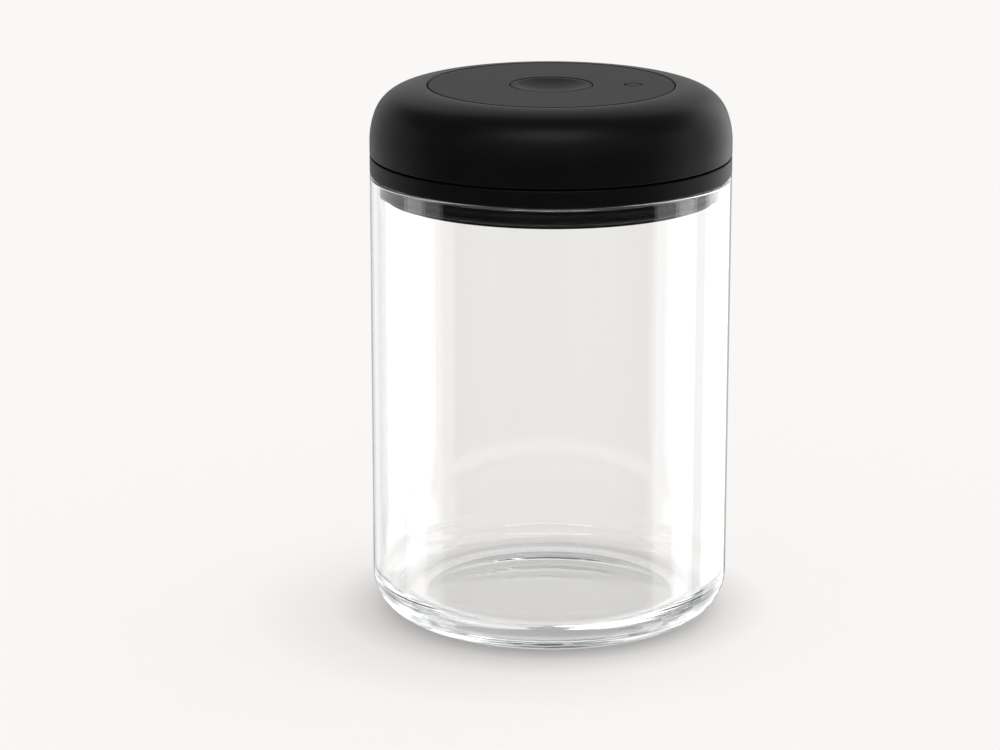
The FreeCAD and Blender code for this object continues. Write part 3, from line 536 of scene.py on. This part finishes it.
def make_cap():
    """The turning dome. Its shoulder is three arcs that run smoothly into each other."""
    low, top = (corner.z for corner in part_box("turning_cap"))
    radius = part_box("glass_jar")[1].x
    mouth = radius - SHOULDER_WIDTH
    drop = top - low - CAP_SIDE
    sine = math.sin(SHOULDER_BLEND)
    rest = 1 - math.cos(SHOULDER_BLEND)
    tight = SHOULDER_RADIUS * (math.cos(SHOULDER_BLEND) - sine)
    scale = 1 / (sine * sine - rest * rest)
    top_radius = ((SHOULDER_WIDTH - tight) * sine - (drop - tight) * rest) * scale
    side_radius = ((drop - tight) * sine - (SHOULDER_WIDTH - tight) * rest) * scale
    side_centre = (radius - side_radius, low + CAP_SIDE)
    middle_reach = side_radius - SHOULDER_RADIUS
    middle = (side_centre[0] + middle_reach * math.cos(SHOULDER_BLEND), side_centre[1] + middle_reach * sine)
    upper = math.pi / 2 - SHOULDER_BLEND
    inside = radius - CAP_WALL
    rib_inside = inside - CAP_WALL
    rib_foot = low + RIB_FOOT
    lip_top = top - LIP_DROP
    outside = arc(side_centre, side_radius, 0.0, SHOULDER_BLEND)
    outside += arc(middle, SHOULDER_RADIUS, SHOULDER_BLEND, upper)[1:]
    outside += arc((mouth, top - top_radius), top_radius, upper, math.pi / 2)[1:-1]
    within = arc(middle, SHOULDER_RADIUS - CAP_WALL, upper, SHOULDER_BLEND)
    within += arc(side_centre, side_radius - CAP_WALL, SHOULDER_BLEND, 0.0)[1:]
    edge = rounded_outline([(inside, low), (radius, low, EDGE_ROUND), (radius, low + CAP_SIDE)])[:-1]
    mouth_edge = rounded_outline([outside[-1], (mouth, top, EDGE_ROUND), (mouth, lip_top)])[1:]
    lip = [(mouth - LIP_REACH, lip_top), (mouth - LIP_REACH, lip_top - LIP_THICKNESS),
           (mouth + CAP_WALL, lip_top - LIP_THICKNESS), (mouth + CAP_WALL, top - CAP_WALL)]
    rib = [(inside, rib_foot + RIB_HEIGHT), (rib_inside, rib_foot + RIB_HEIGHT), (rib_inside, rib_foot),
           (inside, rib_foot)]
    outline = edge + outside + mouth_edge + [Vector(point) for point in lip] + within
    outline += [Vector(point) for point in rib]
    boss_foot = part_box("cam_screws")[0].z + CAM_SCREW_GRIP
    boss_top = top - top_radius * rest - tight / 2
    places = ring_places(CAM_SCREW_RING, CAM_SCREW_ANGLE, CAM_SCREW_COUNT)
    bosses = [bar(place, CAM_BOSS, boss_foot, boss_top) for place in places]
    pilot_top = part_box("cam_screws")[1].z + PILOT_SPARE
    holes = [bar(place, PILOT, boss_foot - DRILL_LEAD, pilot_top) for place in places]
    shaped = drilled(lathe(outline, True), bosses, holes)
    return finish_mesh("cap_shell", *shaped, "cap", "turning_cap", "black_shell")


def make_lid_base():
    """The ring on the jar's rim, with the plug below it and the core and post inside the lid."""
    jar_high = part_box("glass_jar")[1]
    radius = jar_high.x
    rim = jar_high.z
    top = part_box("lid_base")[1].z
    plug = radius - JAR_WALL - PLUG_GAP
    groove = plug - GASKET_SEAT
    foot = rim - PLUG_DEPTH
    groove_foot = foot + GASKET_LAND
    flange = rim + FLANGE_HEIGHT
    spigot = radius - 2 * CAP_WALL - SPIGOT_GAP
    post_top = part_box("top_disc")[0].z
    outline = rounded_outline([
        (STEM_BORE, rim - FLOOR_THICKNESS),
        (plug - PLUG_WALL, rim - FLOOR_THICKNESS),
        (plug - PLUG_WALL, foot, EDGE_ROUND),
        (plug, foot, EDGE_ROUND / 2),
        (plug, groove_foot),
        (groove, groove_foot),
        (groove, groove_foot + GASKET_HEIGHT),
        (plug, groove_foot + GASKET_HEIGHT),
        (plug, rim),
        (radius, rim, FLANGE_ROUND),
        (radius, flange, EDGE_ROUND),
        (spigot, flange),
        (spigot, flange + SPIGOT_HEIGHT, EDGE_ROUND),
        (spigot - SPIGOT_WALL, flange + SPIGOT_HEIGHT, EDGE_ROUND),
        (spigot - SPIGOT_WALL, flange),
        (radius - FLANGE_WALL, flange),
        (radius - FLANGE_WALL, rim),
        (CORE_RADIUS, rim),
        (CORE_RADIUS, top, EDGE_ROUND),
        (CORE_RADIUS - CORE_WALL, top, EDGE_ROUND),
        (CORE_RADIUS - CORE_WALL, rim),
        (POST_RADIUS, rim),
        (POST_RADIUS, post_top),
        (STEM_BORE, post_top),
    ])
    under = rim - FLOOR_THICKNESS
    cover_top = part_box("base_cover")[1].z
    cover_places = ring_places(SCREW_RING, SCREW_ANGLE, SCREW_COUNT)
    barrel_places = ring_places(BARREL_SCREW_RING, BARREL_SCREW_ANGLE, SCREW_COUNT)
    disc_places = ring_places(DISC_SCREW_RING, 0.0, DISC_SCREW_COUNT)
    inlet_low, inlet_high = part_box("inlet_valve")
    inlet = ((inlet_low.x + inlet_high.x) / 2, (inlet_low.y + inlet_high.y) / 2)
    port_places = ring_places(PORT_RING, math.pi / PORT_COUNT, PORT_COUNT, inlet)
    pin_low, pin_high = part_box("indicator_pin")
    tube = ((pin_low.x + pin_high.x) / 2, (pin_low.y + pin_high.y) / 2)
    bosses = [bar(place, BOSS, cover_top, under + DRILL_LEAD) for place in cover_places + barrel_places]
    bosses.append(bar(inlet, POCKET_BORE + POCKET_WALL, cover_top, under + DRILL_LEAD, POCKET_BORE))
    cover_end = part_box("cover_screws")[1].z + PILOT_SPARE
    barrel_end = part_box("barrel_screws")[0].z - PILOT_SPARE
    disc_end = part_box("disc_screws")[0].z - PILOT_SPARE
    holes = [bar(place, PILOT, cover_top - DRILL_LEAD, cover_end) for place in cover_places]
    holes += [bar(place, PILOT, barrel_end, rim + DRILL_LEAD) for place in barrel_places]
    holes += [bar(place, PILOT, disc_end, post_top + DRILL_LEAD) for place in disc_places]
    through = (under - DRILL_LEAD, rim + DRILL_LEAD)
    holes += [bar(place, PORT, *through) for place in port_places]
    holes += [bar(inlet, VALVE_STEM, *through), bar(tube, INDICATOR_PORT, *through)]
    shaped = drilled(lathe(outline, True), bosses, holes)
    return finish_mesh("lid_ring", *shaped, "lid", "lid_base", "black_shell")


def make_glide_band():
    """The low ring that the cap turns on. It is dark, so the seam in front of it is dark too."""
    low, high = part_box("glide_ring")
    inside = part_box("glass_jar")[1].x - 2 * CAP_WALL
    outline = rounded_outline([
        (inside, low.z),
        (high.x, low.z),
        (high.x, high.z, EDGE_ROUND),
        (inside, high.z, EDGE_ROUND),
    ])
    return finish_mesh("glide_band", *lathe(outline, True), "lid", "glide_ring", "black_moulding")


def make_gasket():
    """The gasket in the plug's groove, with two lips that face the glass."""
    jar_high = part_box("glass_jar")[1]
    bore = jar_high.x - JAR_WALL
    plug = bore - PLUG_GAP
    tip = bore - GASKET_GAP
    waist = plug + GASKET_LIP / 2
    foot = jar_high.z - PLUG_DEPTH + GASKET_LAND
    lift = GASKET_HEIGHT / GASKET_STEPS
    outline = rounded_outline([
        (plug - GASKET_SEAT, foot),
        (plug, foot),
        (tip, foot + lift, GASKET_ROUND),
        (tip, foot + lift + GASKET_LIP, GASKET_ROUND),
        (waist, foot + 2 * lift),
        (waist, foot + 3 * lift),
        (tip, foot + 3 * lift + GASKET_LIP / 2, GASKET_ROUND),
        (tip, foot + 3 * lift + 3 * GASKET_LIP / 2, GASKET_ROUND),
        (plug, foot + GASKET_HEIGHT),
        (plug - GASKET_SEAT, foot + GASKET_HEIGHT),
    ])
    return finish_mesh("gasket_lips", *lathe(outline, True), "lid", "jar_gasket", "black_silicone")


# Materials

def new_material(name):
    material = bpy.data.materials.new(name)
    material.use_nodes = True
    tree = material.node_tree
    return material, tree, tree.nodes["Principled BSDF"]


def noise(tree, scale, detail, roughness=0.5):
    node = tree.nodes.new("ShaderNodeTexNoise")
    node.inputs["Scale"].default_value = scale
    node.inputs["Detail"].default_value = detail
    node.inputs["Roughness"].default_value = roughness
    place = tree.nodes.new("ShaderNodeTexCoord")
    tree.links.new(place.outputs["Object"], node.inputs["Vector"])
    return node.outputs["Fac"]


def spread(tree, value, low, high):
    """Map a texture's middle range onto low to high."""
    node = tree.nodes.new("ShaderNodeMapRange")
    node.inputs["From Min"].default_value = TEXTURE_LOW
    node.inputs["From Max"].default_value = TEXTURE_HIGH
    node.inputs["To Min"].default_value = low
    node.inputs["To Max"].default_value = high
    tree.links.new(value, node.inputs["Value"])
    return node.outputs["Result"]


def bump(tree, height, distance, strength, under=None):
    node = tree.nodes.new("ShaderNodeBump")
    node.inputs["Distance"].default_value = distance
    node.inputs["Strength"].default_value = strength
    tree.links.new(height, node.inputs["Height"])
    if under is not None:
        tree.links.new(under, node.inputs["Normal"])
    return node.outputs["Normal"]


def tinted(tree, value, dark, light):
    node = tree.nodes.new("ShaderNodeMix")
    node.data_type = "RGBA"
    node.inputs["A"].default_value = (*dark, 1.0)
    node.inputs["B"].default_value = (*light, 1.0)
    tree.links.new(value, node.inputs["Factor"])
    return node.outputs["Result"]


def moulded(name, colour, roughness, grain_depth, shift=0.12, gloss=0.5):
    """Moulded plastic: a fine eroded grain over a faint waviness, a little uneven in gloss and tone."""
    material, tree, shader = new_material(name)
    broad = noise(tree, scale=90.0, detail=3.0)
    fine = noise(tree, scale=2600.0, detail=2.0, roughness=0.6)
    dark = [channel * (1 - shift) for channel in colour]
    light = [channel * (1 + shift) for channel in colour]
    tone = tinted(tree, spread(tree, broad, low=0.0, high=1.0), dark, light)
    tree.links.new(tone, shader.inputs["Base Color"])
    dull = spread(tree, fine, low=roughness - ROUGHNESS_PLAY, high=roughness + ROUGHNESS_PLAY)
    tree.links.new(dull, shader.inputs["Roughness"])
    waves = bump(tree, broad, distance=0.00006, strength=0.12)
    grain = bump(tree, fine, distance=grain_depth, strength=0.35, under=waves)
    tree.links.new(grain, shader.inputs["Normal"])
    shader.inputs["Specular IOR Level"].default_value = gloss
    return material


def silicone(name, colour):
    """Soft silicone: dull, faintly dusty, with a low sheen."""
    material, tree, shader = new_material(name)
    dust = noise(tree, scale=700.0, detail=4.0, roughness=0.65)
    dark = [channel * DUST_DARK for channel in colour]
    light = [channel * DUST_LIGHT for channel in colour]
    tone = tinted(tree, spread(tree, dust, low=0.0, high=1.0), dark, light)
    tree.links.new(tone, shader.inputs["Base Color"])
    tree.links.new(spread(tree, dust, low=0.52, high=0.66), shader.inputs["Roughness"])
    tree.links.new(bump(tree, dust, distance=0.00003, strength=0.3), shader.inputs["Normal"])
    shader.inputs["Specular IOR Level"].default_value = SILICONE_GLOSS
    return material


def steel(name):
    """Turned steel: bright, with fine tool marks and slight stains."""
    material, tree, shader = new_material(name)
    marks = tree.nodes.new("ShaderNodeTexWave")
    marks.wave_type = "RINGS"
    marks.rings_direction = "Z"
    marks.inputs["Scale"].default_value = TOOL_MARK_SCALE
    marks.inputs["Distortion"].default_value = TOOL_MARK_DISTORTION
    place = tree.nodes.new("ShaderNodeTexCoord")
    tree.links.new(place.outputs["Object"], marks.inputs["Vector"])
    stain = noise(tree, scale=350.0, detail=3.0)
    tone = tinted(tree, spread(tree, stain, low=0.0, high=1.0), STEEL_DARK, STEEL_LIGHT)
    tree.links.new(tone, shader.inputs["Base Color"])
    tree.links.new(spread(tree, stain, low=0.24, high=0.38), shader.inputs["Roughness"])
    scored = bump(tree, marks.outputs["Fac"], distance=0.00001, strength=0.25)
    tree.links.new(scored, shader.inputs["Normal"])
    shader.inputs["Metallic"].default_value = 1.0
    return material


def felt(name):
    """Pressed felt: pale fibres with no gloss."""
    material, tree, shader = new_material(name)
    fibre = noise(tree, scale=1800.0, detail=6.0, roughness=0.75)
    tone = tinted(tree, spread(tree, fibre, low=0.0, high=1.0), FELT_DARK, FELT_LIGHT)
    tree.links.new(tone, shader.inputs["Base Color"])
    tree.links.new(spread(tree, fibre, low=0.88, high=1.0), shader.inputs["Roughness"])
    tree.links.new(bump(tree, fibre, distance=0.0002, strength=0.8), shader.inputs["Normal"])
    shader.inputs["Sheen Weight"].default_value = FELT_SHEEN
    return material


def clear_glass(name):
    """Blown glass: colourless, with a trace of green through its thickness and a faint waviness."""
    material, tree, shader = new_material(name)
    shader.inputs["Base Color"].default_value = PURE_WHITE
    shader.inputs["Roughness"].default_value = 0.0
    shader.inputs["IOR"].default_value = GLASS_INDEX
    shader.inputs["Transmission Weight"].default_value = 1.0
    waves = bump(tree, noise(tree, scale=28.0, detail=2.0), distance=0.00004, strength=0.25)
    tree.links.new(waves, shader.inputs["Normal"])
    depth = tree.nodes.new("ShaderNodeVolumeAbsorption")
    depth.inputs["Color"].default_value = GLASS_TINT
    depth.inputs["Density"].default_value = GLASS_DENSITY
    tree.links.new(depth.outputs["Volume"], tree.nodes["Material Output"].inputs["Volume"])
    return material


def dress_nodes():
    """Make the lid's turned pieces and give every carried-over piece its material."""
    shell = moulded("shell_black", SHELL_COLOUR, roughness=0.38, grain_depth=0.00003, gloss=0.055)
    disc = moulded("disc_black", DISC_COLOUR, roughness=0.46, grain_depth=0.00003, gloss=0.052)
    ring = moulded("ring_black", RING_COLOUR, roughness=0.42, grain_depth=0.00002, gloss=0.055)
    grey = moulded("moulding_grey", GREY_COLOUR, roughness=0.48, grain_depth=0.00003, shift=0.06)
    white = moulded("acetal_white", WHITE_COLOUR, roughness=0.36, grain_depth=0.00001, shift=0.03)
    green = moulded("plastic_green", GREEN_COLOUR, roughness=0.38, grain_depth=0.00002, shift=0.06)
    soft_black = silicone("silicone_black", SOFT_BLACK_COLOUR)
    soft_grey = silicone("silicone_grey", SOFT_GREY_COLOUR)
    metal = steel("steel_turned")
    wool = felt("felt_pressed")
    make_cap().data.materials.append(shell)
    make_lid_base().data.materials.append(ring)
    make_glide_band().data.materials.append(ring)
    make_gasket().data.materials.append(soft_black)
    make_pin().data.materials.append(disc)
    make_cover_screws().data.materials.append(metal)
    springs = (
        make_spring("button_coil", "button_spring", BUTTON_WIRE, BUTTON_TURNS),
        make_spring("indicator_coil", "indicator_spring", INDICATOR_WIRE, INDICATOR_TURNS),
    )
    for spring in springs:
        spring.data.materials.append(metal)
    by_material = (
        (disc, ("top_disc", "release_button")),
        (ring, ("base_cover", "seal_retainer")),
        (grey, ("pump_barrel", "cam_ring", "pump_piston", "indicator_housing")),
        (white, ("release_stem", "follower_rollers")),
        (green, ("indicator_sleeve",)),
        (soft_black, ("barrel_seal", "piston_outer_seal", "piston_inner_seal", "indicator_seal")),
        (soft_grey, ("inlet_valve", "outlet_valve", "release_seal")),
        (metal, ("stem_clip", "follower_pins", "barrel_screws", "disc_screws", "cam_screws")),
        (wool, ("filter_disc",)),
    )
    for material, names in by_material:
        for name in names:
            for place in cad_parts[name].material_slots:
                place.material = material


# Studio

def combine(tree, operation, first, second):
    """One step of arithmetic on two values, each a number or another node's output."""
    node = tree.nodes.new("ShaderNodeMath")
    node.operation = operation
    for value, socket in zip((first, second), node.inputs):
        if isinstance(value, float):
            socket.default_value = value
        else:
            tree.links.new(value, socket)
    return node.outputs[0]


def step_between(tree, value, low, high):
    """1 where the value lies between two limits."""
    above = combine(tree, "GREATER_THAN", value, low)
    below = combine(tree, "LESS_THAN", value, high)
    return combine(tree, "MULTIPLY", above, below)


def make_floor():
    """A pale floor that glows a little where it is seen directly or through glass, with a soft shadow."""
    reach = FLOOR_REACH
    corners = [(-reach, -reach, 0), (reach, -reach, 0), (reach, reach, 0), (-reach, reach, 0)]
    mesh = bpy.data.meshes.new("floor")
    mesh.from_pydata(corners, [], [(0, 1, 2, 3)])
    floor = bpy.data.objects.new("floor", mesh)
    bpy.context.scene.collection.objects.link(floor)
    material, tree, shader = new_material("floor_paper")
    shader.inputs["Base Color"].default_value = FLOOR_COLOUR
    shader.inputs["Roughness"].default_value = 1.0
    shader.inputs["Specular IOR Level"].default_value = 0.0
    path = tree.nodes.new("ShaderNodeLightPath")
    shade = 0.0
    shadows = (
        (STRAIGHT_UP, CONTACT_REACH, CONTACT_SHADE),
        (TO_THE_LIGHT, SHADOW_REACH, SHADOW_SHADE),
    )
    for toward, near_reach, strength in shadows:
        near = tree.nodes.new("ShaderNodeAmbientOcclusion")
        near.samples = NEAR_SAMPLES
        near.inputs["Distance"].default_value = near_reach
        lean = tree.nodes.new("ShaderNodeCombineXYZ")
        for axis, value in enumerate(toward):
            lean.inputs[axis].default_value = value
        tree.links.new(lean.outputs[0], near.inputs["Normal"])
        hidden = combine(tree, "SUBTRACT", 1.0, near.outputs["AO"])
        shade = combine(tree, "ADD", shade, combine(tree, "MULTIPLY", hidden, strength))
    white = tree.nodes.new("ShaderNodeEmission")
    white.inputs["Color"].default_value = BACKDROP_COLOUR
    shade = combine(tree, "MULTIPLY", shade, path.outputs["Is Camera Ray"])
    open_share = combine(tree, "SUBTRACT", 1.0, shade)
    tree.links.new(open_share, white.inputs["Strength"])
    direct = combine(tree, "MULTIPLY", path.outputs["Is Camera Ray"], FLOOR_GLOW)
    through_glass = combine(tree, "MULTIPLY", path.outputs["Is Transmission Ray"], FLOOR_GLASS_GLOW)
    glow = combine(tree, "ADD", direct, through_glass)
    paler = tree.nodes.new("ShaderNodeMixShader")
    tree.links.new(glow, paler.inputs["Fac"])
    tree.links.new(shader.outputs[0], paler.inputs[1])
    tree.links.new(white.outputs[0], paler.inputs[2])
    clear = tree.nodes.new("ShaderNodeBsdfTransparent")
    either = tree.nodes.new("ShaderNodeMixShader")
    reflected = combine(tree, "GREATER_THAN", path.outputs["Glossy Depth"], MIRRORED_ONCE)
    tree.links.new(reflected, either.inputs["Fac"])
    tree.links.new(paler.outputs[0], either.inputs[1])
    tree.links.new(clear.outputs[0], either.inputs[2])
    tree.links.new(either.outputs[0], tree.nodes["Material Output"].inputs["Surface"])
    mesh.materials.append(material)


def make_world():
    """A pale surround. What glossy surfaces mirror is a dark camera side between two white side panels."""
    world = bpy.data.worlds.new("studio")
    bpy.context.scene.world = world
    world.use_nodes = True
    tree = world.node_tree
    base = tree.nodes["Background"]
    heading = tree.nodes.new("ShaderNodeTexCoord")
    parts = tree.nodes.new("ShaderNodeSeparateXYZ")
    tree.links.new(heading.outputs["Generated"], parts.inputs[0])
    side = combine(tree, "ARCTAN2", parts.outputs["X"], combine(tree, "MULTIPLY", parts.outputs["Y"], -1.0))
    rightward = combine(tree, "MULTIPLY", side, math.degrees(1.0))
    leftward = combine(tree, "MULTIPLY", rightward, -1.0)
    around = combine(tree, "ABSOLUTE", rightward, 0.0)
    rise = combine(tree, "MULTIPLY", combine(tree, "ARCSINE", parts.outputs["Z"], 0.0), math.degrees(1.0))
    low = combine(tree, "LESS_THAN", rise, HOOD_LOW)
    path = tree.nodes.new("ShaderNodeLightPath")
    sharp = combine(tree, "MULTIPLY", low, path.outputs["Is Singular Ray"])
    dull = combine(tree, "SUBTRACT", low, sharp)
    dull_left = combine(tree, "MULTIPLY", dull, combine(tree, "LESS_THAN", rise, DULL_LEFT_TOP))
    dull_right = combine(tree, "MULTIPLY", dull, combine(tree, "LESS_THAN", rise, DULL_RIGHT_TOP))
    right = combine(tree, "ADD", sharp, dull_right)
    # Bearing, its two ends, strength, and the rays that see it
    lit_parts = (
        (rightward, RIGHT_START, PANEL_END, PANEL_RIGHT, right),
        (rightward, STRIP_START, STRIP_END, PANEL_RIGHT * STRIP_GAIN, right),
        (rightward, EDGE_START, EDGE_END, EDGE_GLOW, right),
        (leftward, LEFT_START, PANEL_END, PANEL_LEFT, sharp),
        (leftward, STRIP_START, STRIP_END, PANEL_LEFT * STRIP_GAIN, sharp),
        (leftward, DULL_START, PANEL_END, DULL_LEFT, dull_left),
        (around, PANEL_END, BACK_END, BACK_GLOW, low),
    )
    glow = FRONT_GLOW
    for turned, start, end, gain, share in lit_parts:
        lit = combine(tree, "MULTIPLY", step_between(tree, turned, start, end), gain)
        glow = combine(tree, "ADD", glow, combine(tree, "MULTIPLY", lit, share))
    table = combine(tree, "LESS_THAN", rise, TABLE_EDGE)
    glow = combine(tree, "MAXIMUM", glow, combine(tree, "MULTIPLY", table, TABLE_GLOW))
    under = combine(tree, "LESS_THAN", rise, 0.0)
    gap = combine(tree, "MULTIPLY", under, combine(tree, "GREATER_THAN", around, GAP_START))
    dimmed = combine(tree, "SUBTRACT", 1.0, combine(tree, "MULTIPLY", gap, GAP_DIMMED))
    glow = combine(tree, "MULTIPLY", glow, dimmed)
    ahead = combine(tree, "LESS_THAN", around, FRONT_SIDE)
    front = combine(tree, "MULTIPLY", step_between(tree, rise, FRONT_LOW, HOOD_HIGH), ahead)
    glow = combine(tree, "ADD", glow, combine(tree, "MULTIPLY", front, FRONT_HIGH_GLOW))
    overhead = combine(tree, "LESS_THAN", around, HOOD_HALF_WIDTH)
    hood = combine(tree, "MULTIPLY", step_between(tree, rise, HOOD_LOW, HOOD_HIGH), overhead)
    glow = combine(tree, "ADD", glow, combine(tree, "MULTIPLY", hood, HOOD_GLOW))

    mirrored = tree.nodes.new("ShaderNodeBackground")
    tree.links.new(glow, mirrored.inputs["Strength"])
    base.inputs["Color"].default_value = PURE_WHITE
    base.inputs["Strength"].default_value = DOME_STRENGTH
    seen = tree.nodes.new("ShaderNodeBackground")
    seen.inputs["Color"].default_value = BACKDROP_COLOUR
    first = tree.nodes.new("ShaderNodeMixShader")
    reflected = combine(tree, "GREATER_THAN", path.outputs["Glossy Depth"], MIRRORED_ONCE)
    tree.links.new(reflected, first.inputs["Fac"])
    tree.links.new(base.outputs[0], first.inputs[1])
    tree.links.new(mirrored.outputs[0], first.inputs[2])
    plain = combine(tree, "MAXIMUM", path.outputs["Is Camera Ray"], path.outputs["Is Transmission Ray"])
    plain = combine(tree, "SUBTRACT", plain, reflected)
    last = tree.nodes.new("ShaderNodeMixShader")
    tree.links.new(plain, last.inputs["Fac"])
    tree.links.new(first.outputs[0], last.inputs[1])
    tree.links.new(seen.outputs[0], last.inputs[2])
    tree.links.new(last.outputs[0], tree.nodes["World Output"].inputs["Surface"])


def make_sun(name, turn, strength, spread_angle):
    lamp = bpy.data.lights.new(name, "SUN")
    lamp.energy = strength
    lamp.angle = math.radians(spread_angle)
    sun = bpy.data.objects.new(name, lamp)
    sun.rotation_euler = [math.radians(angle) for angle in turn]
    bpy.context.scene.collection.objects.link(sun)
    sun.visible_glossy = False


def make_camera():
    lens = bpy.data.cameras.new("camera")
    lens.lens = CAMERA_LENS
    lens.sensor_width = SENSOR_WIDTH
    lens.sensor_fit = "HORIZONTAL"
    lens.clip_end = CAMERA_FAR
    camera = bpy.data.objects.new("camera", lens)
    camera.location = CAMERA_PLACE
    camera.rotation_euler = (math.radians(CAMERA_TILT), 0.0, math.radians(CAMERA_YAW))
    bpy.context.scene.collection.objects.link(camera)
    bpy.context.scene.camera = camera


def let_light_through():
    """Thick glass guides light a long way round before it comes out."""
    light = bpy.context.scene.cycles
    light.max_bounces = GLASS_BOUNCES
    light.glossy_bounces = GLASS_BOUNCES
    light.transmission_bounces = GLASS_BOUNCES


make_jar().data.materials.append(clear_glass("glass_clear"))
dress_nodes()
make_floor()
make_world()
make_sun("key", KEY_TURN, KEY_STRENGTH, KEY_SPREAD)
make_camera()
let_light_through()
bpy.context.scene.view_settings.view_transform = "Standard"
